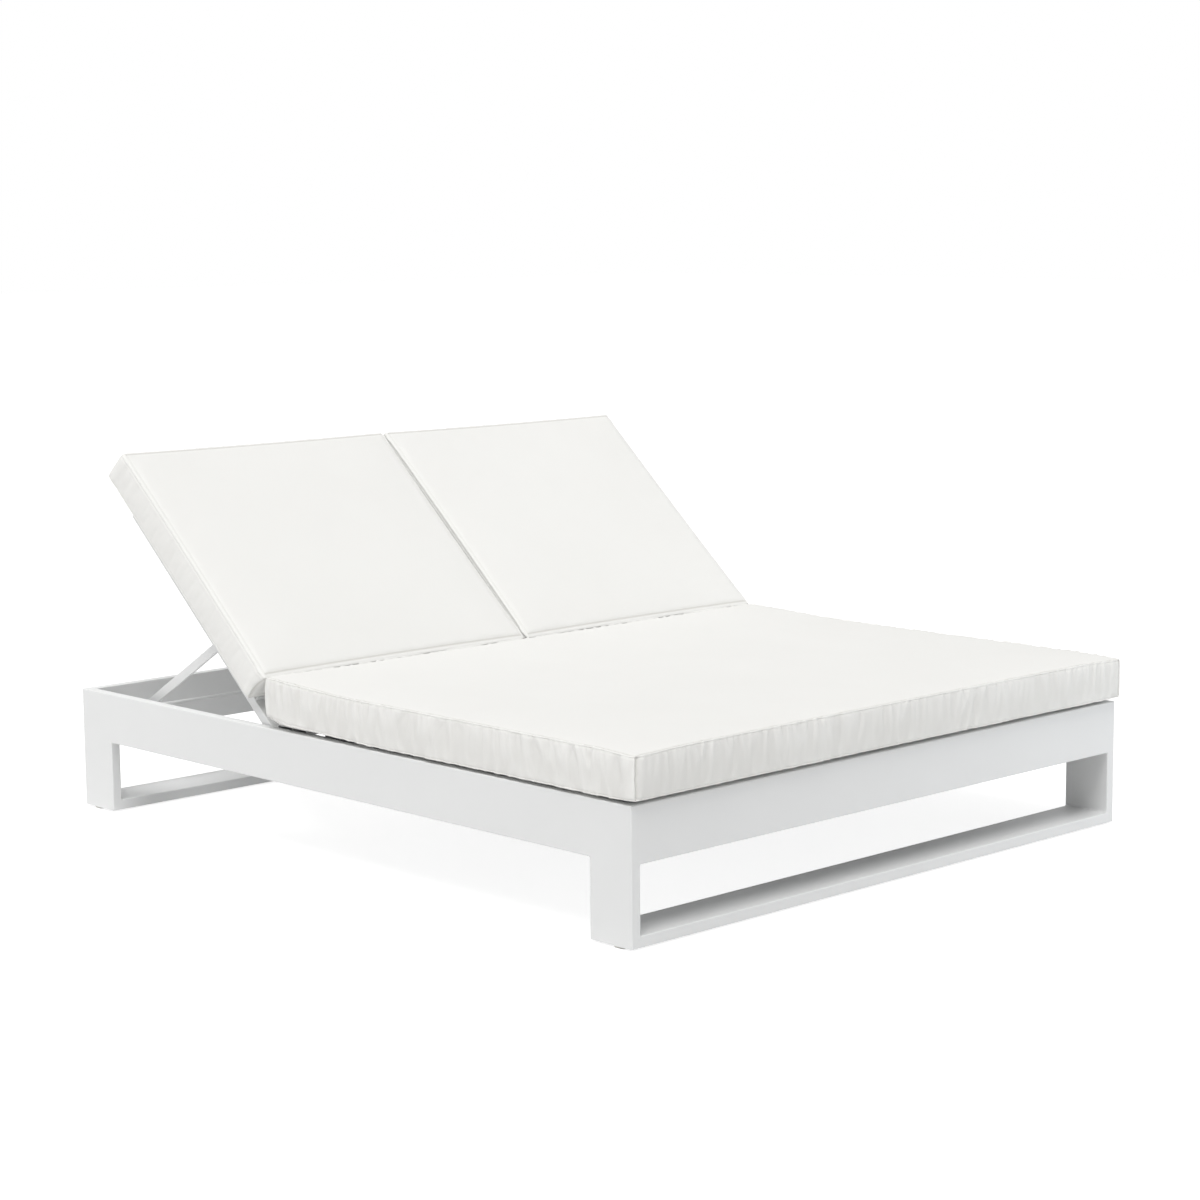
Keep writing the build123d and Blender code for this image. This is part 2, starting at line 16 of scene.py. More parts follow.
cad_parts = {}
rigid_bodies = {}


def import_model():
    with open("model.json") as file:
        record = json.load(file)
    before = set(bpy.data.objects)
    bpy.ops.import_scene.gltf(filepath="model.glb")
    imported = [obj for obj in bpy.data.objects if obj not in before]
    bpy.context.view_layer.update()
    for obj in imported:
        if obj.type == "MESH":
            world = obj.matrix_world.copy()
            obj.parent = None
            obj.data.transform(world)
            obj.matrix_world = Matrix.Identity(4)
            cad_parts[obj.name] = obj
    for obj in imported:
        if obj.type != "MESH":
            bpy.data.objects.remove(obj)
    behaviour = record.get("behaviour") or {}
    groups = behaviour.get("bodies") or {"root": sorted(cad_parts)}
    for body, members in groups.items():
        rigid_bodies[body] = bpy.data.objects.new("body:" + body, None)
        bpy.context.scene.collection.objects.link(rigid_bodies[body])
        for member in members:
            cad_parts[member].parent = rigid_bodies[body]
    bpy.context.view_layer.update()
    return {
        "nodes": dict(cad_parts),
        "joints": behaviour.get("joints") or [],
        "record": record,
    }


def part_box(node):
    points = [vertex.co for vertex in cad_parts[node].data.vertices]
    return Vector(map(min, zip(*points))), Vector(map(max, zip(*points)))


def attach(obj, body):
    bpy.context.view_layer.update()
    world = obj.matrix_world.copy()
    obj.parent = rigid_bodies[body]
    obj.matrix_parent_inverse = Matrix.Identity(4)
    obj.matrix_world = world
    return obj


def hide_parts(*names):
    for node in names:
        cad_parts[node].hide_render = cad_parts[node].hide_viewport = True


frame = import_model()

scene = bpy.context.scene
scene.view_settings.view_transform = "Standard"

# %% [markdown]
# ## Camera
#
# A product shot is taken from far off with a long lens, which keeps the edges nearly parallel.
# The camera could be placed by eye. Here its place and angles are written down as they were
# worked out from the edges of the bed, so the outline falls on the photograph's.

# %% Camera
camera_place = Vector((-4.6116, -4.8791, 1.5057))
camera_azimuth = radians(-43.679)
camera_elevation = radians(8.162)
camera_roll = radians(-0.499)
picture_width = 1200
focal_length_in_pixels = 2733.6
sensor_width = 36.0

lens = bpy.data.cameras.new("camera")
lens.sensor_width = sensor_width
lens.lens = sensor_width * focal_length_in_pixels / picture_width
camera = bpy.data.objects.new("camera", lens)
camera.matrix_world = (
    Matrix.Translation(camera_place)
    @ Matrix.Rotation(camera_azimuth, 4, "Z")
    @ Matrix.Rotation(pi / 2 - camera_elevation, 4, "X")
    @ Matrix.Rotation(camera_roll, 4, "Z")
)
scene.collection.objects.link(camera)
scene.camera = camera
print("lens:", round(lens.lens, 1), "mm")

# %% [markdown]
# ## Light
#
# White on white only reads when each side of the object gets its own amount of light. The sky
# fills the shadows, and a lamp high up on the left, as broad as a bright cloud, makes the top
# the brightest side. A small cool lamp lights the foot end. A low warm one stands behind on the
# left and grazes the long side, which brings out the folds of the cushion. Rays that the camera
# sends see pure white.

# %% Sky
sky_fill = 0.38
sky_tint = (0.985, 0.985, 0.985, 1.0)


def maths(tree, operation, first, second=None):
    """A Math node on sockets or plain numbers. It returns its output."""
    node = tree.nodes.new("ShaderNodeMath")
    node.operation = operation
    for place, value in enumerate((first, second)):
        if value is None:
            continue
        if isinstance(value, (int, float)):
            node.inputs[place].default_value = value
        else:
            tree.links.new(value, node.inputs[place])
    return node.outputs[0]


def split_by_ray(tree, lighting, seen, output):
    """The lamps' light meets one shader. The camera, a mirror and a pane of glass see the other."""
    path = tree.nodes.new("ShaderNodeLightPath")
    direct = maths(tree, "MAXIMUM", path.outputs["Is Camera Ray"], path.outputs["Is Glossy Ray"])
    is_seen = maths(tree, "MAXIMUM", direct, path.outputs["Is Transmission Ray"])
    choice = tree.nodes.new("ShaderNodeMixShader")
    tree.links.new(is_seen, choice.inputs["Fac"])
    tree.links.new(lighting, choice.inputs[1])
    tree.links.new(seen, choice.inputs[2])
    tree.links.new(choice.outputs[0], output.inputs["Surface"])


sky = bpy.data.worlds.new("studio")
sky.use_nodes = True
scene.world = sky
tree = sky.node_tree
tree.nodes.clear()
fill = tree.nodes.new("ShaderNodeBackground")
fill.inputs["Color"].default_value = sky_tint
fill.inputs["Strength"].default_value = sky_fill
white = tree.nodes.new("ShaderNodeBackground")
white.inputs["Color"].default_value = (1, 1, 1, 1)
white.inputs["Strength"].default_value = 1.0
output = tree.nodes.new("ShaderNodeOutputWorld")
split_by_ray(tree, fill.outputs[0], white.outputs[0], output)
print("sky fill:", sky_fill)

# %% Key lamp
key_direction = Vector((-0.34, -0.19, 0.88))
key_spread = radians(36)
key_energy = 2.36
key_color = (1.0, 0.995, 0.985)


def add_lamp(name, kind, place, direction, energy, color):
    """A lamp at a place, which shines from this direction. It returns the lamp's object."""
    light = bpy.data.lights.new(name, kind)
    light.energy = energy
    light.color = color
    lamp = bpy.data.objects.new(name, light)
    turn = direction.to_track_quat("Z", "Y").to_matrix().to_4x4()
    lamp.matrix_world = Matrix.Translation(place) @ turn
    scene.collection.objects.link(lamp)
    return lamp


key_lamp = add_lamp("key_lamp", "SUN", Vector((0, 0, 0)), key_direction, key_energy, key_color)
key_lamp.data.angle = key_spread
print("key lamp:", key_energy)


# %% Side lamps
def add_side_lamp(name, place, aim, size, energy, color):
    """A round lamp at a place, turned to where it aims. The camera doesn't see it."""
    lamp = add_lamp(name, "AREA", place, place - aim, energy, color)
    lamp.data.shape = "DISK"
    lamp.data.size = size
    lamp.visible_camera = False


add_side_lamp(
    "end_lamp",
    place=Vector((2.2, -2.4, 0.35)),
    aim=Vector((0.7, -1.0, 0.25)),
    size=0.9,
    energy=7.0,
    color=(0.86, 0.93, 1.0),
)
add_side_lamp(
    "rear_lamp",
    place=Vector((-3.0, 4.0, 0.6)),
    aim=Vector((-0.83, -0.4, 0.3)),
    size=0.8,
    energy=12.0,
    color=(1.0, 0.99, 0.97),
)

# %% [markdown]
# ## Floor
#
# The floor is plain and pale. Rays from the camera see it nearly as white as the sky, so the
# horizon is lost, but it keeps the lounger's shadow and throws light back up under the bed.

# %% Floor
floor_half_width = 40.0

plane = bmesh.new()
bmesh.ops.create_grid(plane, x_segments=1, y_segments=1, size=floor_half_width)
floor_mesh = bpy.data.meshes.new("floor")
plane.to_mesh(floor_mesh)
plane.free()
floor = bpy.data.objects.new("floor", floor_mesh)
scene.collection.objects.link(floor)
print("floor:", 2 * floor_half_width, "m across")

# %% Floor finish
floor_glow = 0.84
floor_paint = (0.40, 0.40, 0.40, 1.0)
floor_bounce = (0.89, 0.89, 0.89, 1.0)

floor_finish = bpy.data.materials.new("pale_floor")
floor_finish.use_nodes = True
tree = floor_finish.node_tree
tree.nodes.clear()
bounce = tree.nodes.new("ShaderNodeBsdfDiffuse")
bounce.inputs["Color"].default_value = floor_bounce
paint = tree.nodes.new("ShaderNodeBsdfDiffuse")
paint.inputs["Color"].default_value = floor_paint
glow = tree.nodes.new("ShaderNodeEmission")
glow.inputs["Strength"].default_value = floor_glow
lit = tree.nodes.new("ShaderNodeAddShader")
tree.links.new(paint.outputs[0], lit.inputs[0])
tree.links.new(glow.outputs[0], lit.inputs[1])
output = tree.nodes.new("ShaderNodeOutputMaterial")
split_by_ray(tree, bounce.outputs[0], lit.outputs[0], output)
floor_mesh.materials.append(floor_finish)
print("floor finish:", floor_finish.name)

# %% [markdown]
# ## Shared effects
#
# Paint, plastic, rubber and steel all have a fine grain, so the grain is one node group that
# each finish uses with its own values. It gives back a height for bumps and a slow drift for
# colour and roughness. The weave of the fabric is the other group.

# %% Grain group
fine_octaves = 1.0
drift_octaves = 3.0


def effect_group(name, inputs, outputs):
    """A shader node group with named inputs and outputs, and its two end nodes."""
    group = bpy.data.node_groups.new(name, "ShaderNodeTree")
    for label, kind, value in inputs:
        socket = group.interface.new_socket(label, in_out="INPUT", socket_type=kind)
        if value is not None:
            socket.default_value = value
    for label, kind in outputs:
        group.interface.new_socket(label, in_out="OUTPUT", socket_type=kind)
    return group, group.nodes.new("NodeGroupInput"), group.nodes.new("NodeGroupOutput")


grain, given, result = effect_group(
    "surface_grain",
    [
        ("Vector", "NodeSocketVector", None),
        ("Grain Scale", "NodeSocketFloat", 900.0),
        ("Drift Scale", "NodeSocketFloat", 7.0),
    ],
    [("Height", "NodeSocketFloat"), ("Drift", "NodeSocketFloat")],
)
for scale, octaves, use in (
    ("Grain Scale", fine_octaves, "Height"),
    ("Drift Scale", drift_octaves, "Drift"),
):
    texture = grain.nodes.new("ShaderNodeTexNoise")
    texture.inputs["Detail"].default_value = octaves
    grain.links.new(given.outputs["Vector"], texture.inputs["Vector"])
    grain.links.new(given.outputs[scale], texture.inputs["Scale"])
    grain.links.new(texture.outputs["Fac"], result.inputs[use])
print("group:", grain.name)

# %% Weave group
threads_per_metre = 1100.0

weave, given, result = effect_group(
    "plain_weave",
    [
        ("Vector", "NodeSocketVector", None),
        ("Threads Per Metre", "NodeSocketFloat", threads_per_metre),
    ],
    [("Height", "NodeSocketFloat"), ("Gap", "NodeSocketFloat")],
)
scaled = weave.nodes.new("ShaderNodeVectorMath")
scaled.operation = "SCALE"
weave.links.new(given.outputs["Vector"], scaled.inputs[0])
weave.links.new(given.outputs["Threads Per Metre"], scaled.inputs["Scale"])
parts = weave.nodes.new("ShaderNodeSeparateXYZ")
weave.links.new(scaled.outputs[0], parts.inputs[0])
warp = maths(weave, "SINE", maths(weave, "MULTIPLY", parts.outputs["X"], pi))
weft = maths(weave, "SINE", maths(weave, "MULTIPLY", parts.outputs["Y"], pi))
over = maths(weave, "GREATER_THAN", maths(weave, "MULTIPLY", warp, weft), 0.0)
under = maths(weave, "SUBTRACT", 1.0, over)
warp_round = maths(weave, "ABSOLUTE", warp)
weft_round = maths(weave, "ABSOLUTE", weft)
warp_over = maths(weave, "MULTIPLY", warp_round, over)
weft_over = maths(weave, "MULTIPLY", weft_round, under)
height = maths(weave, "ADD", warp_over, weft_over)
gap = maths(weave, "SUBTRACT", 1.0, maths(weave, "MAXIMUM", warp_round, weft_round))
weave.links.new(height, result.inputs["Height"])
weave.links.new(gap, result.inputs["Gap"])
print("group:", weave.name)

# %% [markdown]
# ## Finishes
#
# Each finish starts the same way: a Principled shader, the grain group on Object coordinates,
# a colour that drifts a little, a roughness that drifts with it, and a bump. What differs is
# the numbers, so a short function makes the common part.

# %% Node helpers
def placed_grain(tree, grain_scale, drift_scale):
    """The grain group on the object's own coordinates, with these two scales."""
    place = tree.nodes.new("ShaderNodeTexCoord")
    effect = tree.nodes.new("ShaderNodeGroup")
    effect.node_tree = grain
    effect.inputs["Grain Scale"].default_value = grain_scale
    effect.inputs["Drift Scale"].default_value = drift_scale
    tree.links.new(place.outputs["Object"], effect.inputs["Vector"])
    return effect


def mixed(tree, share, first, second):
    """A colour from the first to the second. Each is a socket or three plain numbers."""
    node = tree.nodes.new("ShaderNodeMix")
    node.data_type = "RGBA"
    tree.links.new(share, node.inputs["Factor"])
    for name, colour in (("A", first), ("B", second)):
        if isinstance(colour, tuple):
            node.inputs[name].default_value = (*colour, 1)
        else:
            tree.links.new(colour, node.inputs[name])
    return node.outputs["Result"]


def add_bump(tree, shader, height, strength, depth):
    """Let a height stand out from the shader's surface."""
    relief = tree.nodes.new("ShaderNodeBump")
    relief.inputs["Strength"].default_value = strength
    relief.inputs["Distance"].default_value = depth
    tree.links.new(height, relief.inputs["Height"])
    tree.links.new(relief.outputs["Normal"], shader.inputs["Normal"])


# %% Finish helper
def grained_finish(name, light, dark, roughness, grain_scale, drift_scale, bump, depth):
    """A material with a grained surface. roughness is its lowest and highest value."""
    finish = bpy.data.materials.new(name)
    finish.use_nodes = True
    tree = finish.node_tree
    shader = tree.nodes["Principled BSDF"]
    effect = placed_grain(tree, grain_scale, drift_scale)
    colour = mixed(tree, effect.outputs["Drift"], dark, light)
    tree.links.new(colour, shader.inputs["Base Color"])
    gloss = tree.nodes.new("ShaderNodeMapRange")
    gloss.inputs["To Min"].default_value = roughness[0]
    gloss.inputs["To Max"].default_value = roughness[1]
    tree.links.new(effect.outputs["Drift"], gloss.inputs["Value"])
    tree.links.new(gloss.outputs["Result"], shader.inputs["Roughness"])
    add_bump(tree, shader, effect.outputs["Height"], bump, depth)
    return finish


# %% Hard finishes
powder_coat = grained_finish(
    "white_powder_coat",
    light=(0.785, 0.791, 0.792),
    dark=(0.755, 0.763, 0.764),
    roughness=(0.42, 0.55),
    grain_scale=700.0,
    drift_scale=5.0,
    bump=0.25,
    depth=0.0003,
)
steel = grained_finish(
    "brushed_stainless",
    light=(0.66, 0.65, 0.63),
    dark=(0.52, 0.52, 0.51),
    roughness=(0.24, 0.42),
    grain_scale=1600.0,
    drift_scale=180.0,
    bump=0.15,
    depth=0.0001,
)
steel.node_tree.nodes["Principled BSDF"].inputs["Metallic"].default_value = 1.0
nylon = grained_finish(
    "dark_nylon",
    light=(0.030, 0.030, 0.032),
    dark=(0.020, 0.020, 0.021),
    roughness=(0.45, 0.60),
    grain_scale=2200.0,
    drift_scale=60.0,
    bump=0.2,
    depth=0.0001,
)
glide_plastic = grained_finish(
    "pale_glide_plastic",
    light=(0.62, 0.61, 0.57),
    dark=(0.50, 0.49, 0.46),
    roughness=(0.22, 0.38),
    grain_scale=1200.0,
    drift_scale=90.0,
    bump=0.2,
    depth=0.0001,
)
rubber = grained_finish(
    "pad_rubber",
    light=(0.024, 0.024, 0.025),
    dark=(0.014, 0.014, 0.015),
    roughness=(0.62, 0.78),
    grain_scale=1500.0,
    drift_scale=70.0,
    bump=0.4,
    depth=0.0002,
)
finish_of_slot = {
    "frame_coat": powder_coat,
    "stainless_hardware": steel,
    "nylon_bush": nylon,
    "glide_plastic": glide_plastic,
    "pad_rubber": rubber,
}
print("hard finishes:", [finish.name for finish in finish_of_slot.values()])

# %% [markdown]
# ## Dressing the hard pieces
#
# The record says which finish each hard piece has, so one loop dresses them all.

# %% Dress the hard pieces
slot_of_node = {part["node"]: part["material_slot"] for part in frame["record"]["subparts"]}
dressed = 0
for name, piece in frame["nodes"].items():
    if slot_of_node[name] in finish_of_slot:
        piece.data.materials.clear()
        piece.data.materials.append(finish_of_slot[slot_of_node[name]])
        dressed += 1
print("dressed:", dressed)

# %% [markdown]
# ## Cushion fabric
#
# An outdoor fabric in off-white, woven tight and nearly plain. The weave is too fine to see
# from a few steps away, so it only breaks up the shine, and shade is painted into the gaps
# between its threads. The threads follow each panel, which needs coordinates on the cloth: the
# cushions carry a UV map in metres. They also carry an attribute of painted shade, high in their
# seams and between their folds, where less light gets in.

# %% Cushion fabric
fabric = bpy.data.materials.new("cushion_fabric")
fabric.use_nodes = True
tree = fabric.node_tree
shader = tree.nodes["Principled BSDF"]
shader.inputs["Roughness"].default_value = 0.82
shader.inputs["Sheen Weight"].default_value = 0.10
shader.inputs["Sheen Roughness"].default_value = 0.45
shader.inputs["Specular IOR Level"].default_value = 0.28
cloth_map = tree.nodes.new("ShaderNodeUVMap")
cloth_map.uv_map = "cloth"
threads = tree.nodes.new("ShaderNodeGroup")
threads.node_tree = weave
threads.inputs["Threads Per Metre"].default_value = threads_per_metre
tree.links.new(cloth_map.outputs["UV"], threads.inputs["Vector"])
add_bump(tree, shader, threads.outputs["Height"], strength=0.25, depth=0.0002)
print("fabric:", fabric.name)

# %% Fabric colours
thread_light = (0.868, 0.866, 0.848)
thread_dark = (0.835, 0.832, 0.812)
# painted shade: the fabric's colour in the gaps between the threads of the weave
painted_gap_shade_colour = (0.70, 0.70, 0.68)
# painted shade: the fabric's colour in the sewn grooves, beside the corner folds and between deep folds
painted_seam_shade_colour = (0.42, 0.40, 0.36)
painted_gap_shade_depth = 0.35
painted_seam_shade_depth = 0.45

slubs = placed_grain(tree, grain_scale=260.0, drift_scale=4.0)
shade_attribute = tree.nodes.new("ShaderNodeAttribute")
shade_attribute.attribute_name = "painted_seam_and_fold_shade"
painted_gap_shade_share = maths(tree, "MULTIPLY", threads.outputs["Gap"], painted_gap_shade_depth)
painted_seam_shade_share = maths(tree, "MULTIPLY", shade_attribute.outputs["Fac"], painted_seam_shade_depth)
yarn_colour = mixed(tree, slubs.outputs["Drift"], thread_dark, thread_light)
weave_colour = mixed(tree, painted_gap_shade_share, yarn_colour, painted_gap_shade_colour)
cloth_colour = mixed(tree, painted_seam_shade_share, weave_colour, painted_seam_shade_colour)
tree.links.new(cloth_colour, shader.inputs["Base Color"])
print("colours:", thread_dark, "to", thread_light)

# %% [markdown]
# ## Cushion blanks
#
# Each cushion is a box of foam in a cover of two panels and a band. It could be one smooth
# blob, but then the seams have nowhere to sit. So it starts as a real box, cut into a grid:
# wide cells on the panels, narrow ones round the band and its rims, where the cloth wrinkles.

# %% Narrow columns
band_cell = 0.0065
same = 1e-5


def runs_along(edge, axis):
    """True for an edge that lies along this axis."""
    step = edge.verts[0].co - edge.verts[1].co
    return abs(step[axis]) > step.length - same


def narrow_the_band(blank, width, length, margin):
    """Cut the level edges of the band and its rims into narrow columns."""
    by_cuts = {}
    for wall, along, half in ((0, 1, width / 2), (1, 0, length / 2)):
        for edge in blank.edges:
            on_wall = all(half - abs(vert.co[wall]) < margin for vert in edge.verts)
            if on_wall and runs_along(edge, along):
                cuts = round(edge.calc_length() / band_cell) - 1
                by_cuts.setdefault(cuts, []).append(edge)
    for cuts, edges in by_cuts.items():
        if cuts > 0:
            bmesh.ops.subdivide_edges(blank, edges=edges, cuts=cuts)


print("column:", 1000 * band_cell, "mm")

# %% Cushion blank
panel_cell = 0.024
band_row = 0.0105
stitch_row_share = 1.05
narrow_rows_share = 1.4
lip_row_shares = (0.35, 0.7, stitch_row_share, narrow_rows_share, 2.2)


def on_axis(axis, distance):
    """The point at this distance along one axis."""
    point = Vector((0, 0, 0))
    point[axis] = distance
    return point


def cushion_blank(width, length, height, lip):
    """A box on the floor plane, cut into panels and a finer band."""
    blank = bmesh.new()
    bmesh.ops.create_cube(blank, size=1.0)
    bmesh.ops.scale(blank, vec=(width, length, height), verts=blank.verts)
    bmesh.ops.translate(blank, vec=(0, 0, height / 2), verts=blank.verts)
    for axis, size, cell in ((0, width, panel_cell), (1, length, panel_cell), (2, height, band_row)):
        lines = [edge for edge in blank.edges if runs_along(edge, axis)]
        cuts = round(size / cell) - 1
        bmesh.ops.subdivide_edges(blank, edges=lines, cuts=cuts, use_grid_fill=True)
    for axis, low, high in ((0, -width / 2, width / 2), (1, -length / 2, length / 2), (2, 0, height)):
        for share in lip_row_shares:
            for place in (low + share * lip, high - share * lip):
                bmesh.ops.bisect_plane(
                    blank,
                    geom=blank.verts[:] + blank.edges[:] + blank.faces[:],
                    plane_co=on_axis(axis, place),
                    plane_no=on_axis(axis, 1),
                )
    narrow_the_band(blank, width, length, narrow_rows_share * lip + same)
    return blank


print("panel cell:", 1000 * panel_cell, "mm, band row:", 1000 * band_row, "mm")

# %% [markdown]
# ## Cushion shape
#
# A filled cover isn't a box. Its corners are rounded in plan, its sides draw in between the
# corners and its panel is crowned. Where band and panel meet, the seam allowance inside makes a
# soft round lip, with a sewn groove on each side of it. Shade is painted into the fabric along
# that groove: with the groove it makes the fine dark line that shows a seam from afar. The band
# is a little too long for its panels, so it stands in upright wrinkles. The shapes are small
# moves of the vertices, one rule for each.

# %% Soft steps
falloff_base = 2.718


def bell(distance, width):
    """1 at no distance, falling to 0 a few widths away."""
    return falloff_base ** -((distance / width) ** 2)


def ramp(value, low, high):
    """0 below low, 1 above high and a smooth step between them."""
    share = min(max((value - low) / (high - low), 0.0), 1.0)
    return share * share * (3 - 2 * share)


print("one width off a bell:", round(bell(1.0, 1.0), 2))
print("a quarter up a ramp:", round(ramp(0.25, 0.0, 1.0), 2))

# %% Rounded corners
corner_radius = 0.007


def past_straights(x, y, half_width, half_length):
    """How far a point lies past the straight stretches of the outline, and on which side."""
    over_x = abs(x) - (half_width - corner_radius)
    over_y = abs(y) - (half_length - corner_radius)
    return over_x, over_y, 1 if x > 0 else -1, 1 if y > 0 else -1


def rounded_in_plan(x, y, half_width, half_length):
    """Move a point near an upright corner onto the rounded corner."""
    over_x, over_y, x_sign, y_sign = past_straights(x, y, half_width, half_length)
    if over_x <= 0 or over_y <= 0:
        return x, y
    shrink = max(over_x, over_y) / hypot(over_x, over_y)
    return (
        x_sign * (half_width - corner_radius + over_x * shrink),
        y_sign * (half_length - corner_radius + over_y * shrink),
    )


def to_outline(x, y, half_width, half_length):
    """How far inside the cushion's outline a point lies, and which way is out."""
    over_x, over_y, x_sign, y_sign = past_straights(x, y, half_width, half_length)
    if over_x > 0 and over_y > 0:
        reach = hypot(over_x, over_y)
        return corner_radius - reach, Vector((x_sign * over_x / reach, y_sign * over_y / reach, 0))
    if over_x > over_y:
        return corner_radius - over_x, Vector((x_sign, 0, 0))
    return corner_radius - over_y, Vector((0, y_sign, 0))


print("corner radius:", 1000 * corner_radius, "mm")

# %% Wrinkles
wrinkle_length = 0.060
wrinkle_drift = 0.35
wrinkle_drift_waves = 2.2
wrinkle_wide_waves = (2, 5.0)
wrinkle_thin_waves = (4.6, 9.0)
wrinkle_wide_share = 1.7
wrinkle_thin_share = 0.7
wrinkle_mean = 0.35
wrinkle_swell_waves = 3.1
wrinkle_swell_mean = 0.75
wrinkle_swell_share = 0.9
wrinkle_least_swell = 0.15


def wrinkle(along, up, seed):
    """The height of the band's wrinkles, from about -1 to 1. They run nearly upright."""
    lean = noise.noise((along * wrinkle_drift_waves, 0.0, seed)) * wrinkle_drift
    shifted = (along + lean * up) / wrinkle_length
    across, upright = wrinkle_wide_waves
    wide = noise.noise((shifted * across, up * upright, seed + 7.0))
    across, upright = wrinkle_thin_waves
    thin = noise.noise((shifted * across, up * upright, seed + 19.0))
    swell_noise = noise.noise((along * wrinkle_swell_waves, 0.0, seed + 31.0))
    swell = wrinkle_swell_mean + wrinkle_swell_share * swell_noise
    waves = wrinkle_wide_share * abs(wide) - wrinkle_mean + wrinkle_thin_share * thin
    return waves * max(swell, wrinkle_least_swell)


print("wrinkle at one point:", round(wrinkle(0.3, 0.05, 1.0), 2))

# %% Corners of the band
corner_calm = 0.014
corner_bulge = 0.0022
corner_bulge_reach = 0.022
corner_bulge_width = 0.012
corner_bulge_waver = 0.8
corner_fold = 0.0050
corner_fold_reach = 0.0060
corner_fold_width = 0.0036
corner_fold_waver = 0.6
corner_waves = 34.0


def to_corner_fold(to_corner, z, seed):
    """How far a point of an end wall lies from the wavy upright fold beside its corner."""
    waver = noise.noise((z * corner_waves, seed, 0.0))
    return to_corner - corner_fold_reach * (1 + corner_fold_waver * waver)


def corner_move(to_corner, z, seed, on_side):
    """How far the band stands out near its corner: a bulge on a side, a fold on an end."""
    if not on_side:
        return -corner_fold * bell(to_corner_fold(to_corner, z, seed), corner_fold_width)
    swell = 1 + corner_bulge_waver * noise.noise((z * corner_waves, seed, 0.0))
    return corner_bulge * swell * bell(to_corner - corner_bulge_reach, corner_bulge_width)


print("corner fold:", 1000 * corner_fold, "mm deep")

# %% Band
wrinkle_fade = (0.004, 0.020)
corner_fade = (-0.002, 0.006)
groove_depth = 0.0019
groove_width = 0.0014


def band_move(x, y, z, half_width, half_length, height, lip, ruffle):
    """How far a point of the band stands out from its wall."""
    on_side = abs(abs(x) - half_width) < same
    wall = (0 if x < 0 else 1) if on_side else (2 if y < 0 else 3)
    along = y if on_side else x
    to_corner = (half_length - abs(y)) if on_side else (half_width - abs(x))
    to_seam = min(z, height - z)
    depth, seed = ruffle[wall]
    calm = 1 - bell(to_corner, corner_calm)
    out = depth * wrinkle(along, z, seed) * ramp(to_seam, *wrinkle_fade) * calm
    out += corner_move(to_corner, z, seed, on_side)
    out *= ramp(to_seam, *corner_fade)
    return out - groove_depth * bell(to_seam - stitch_row_share * lip, groove_width)


print("sewn groove:", 1000 * groove_depth, "mm deep")

# %% Panel
crown_height = 0.008
crown_rise = 0.07
pucker_height = 0.0005
pucker_waves = 70.0
pucker_from_share = 2.5
pucker_width = 0.012
slack_height = 0.0008
slack_waves = 5.0
slack_fade = (0.02, 0.2)


def panel_move(x, y, gap, lip, crown):
    """How far a point of a panel rises above its seam."""
    rise = 1 - falloff_base ** (-max(gap - lip, 0.0) / crown_rise)
    pucker = noise.noise((x * pucker_waves, y * pucker_waves, 3.0))
    pucker *= bell(gap - pucker_from_share * lip, pucker_width)
    slack = noise.noise((x * slack_waves, y * slack_waves, 11.0)) * ramp(gap, *slack_fade)
    dip = groove_depth * bell(gap - stitch_row_share * lip, groove_width)
    return crown * rise + pucker_height * pucker + slack_height * slack - dip


def round_the_lip(reach, lip):
    """A point at this reach from the seam, on a lip this round: its inset and its depth."""
    if reach >= lip:
        return 0.0, reach
    slope = hypot(lip, lip - reach)
    return lip - lip * lip / slope, lip - lip * (lip - reach) / slope


print("crown:", 1000 * crown_height, "mm high")

# %% Painted shade of the seams
band_seam_share = 0.5
corner_shade = 0.8


def painted_seam_shade(x, y, z, half_width, half_length, height, lip, ruffle, side_seam_shade):
    """How much shade is painted on a point of the box, from 0 to 1: in the sewn grooves, and beside the
    corner folds of the ends.
    """
    to_end = half_length - abs(y)
    to_side = half_width - abs(x)
    on_band = to_side < same or to_end < same
    to_stitches = (min(z, height - z) if on_band else min(to_side, to_end)) - stitch_row_share * lip
    dark = bell(to_stitches, groove_width) * (band_seam_share if on_band else 1.0)
    if to_side < to_end:
        dark *= side_seam_shade
    if abs(to_end) < same:
        seed = ruffle[2 if y < 0 else 3][1]
        beside = to_corner_fold(to_side, z, seed)
        dark = max(dark, corner_shade * bell(beside, corner_fold_width))
    return dark


print("seam tone of the band:", band_seam_share)

# %% Whole shape
side_draw_in = 0.003
bottom_roll = 0.022
foam_hold = 0.01
held_from = 0.10


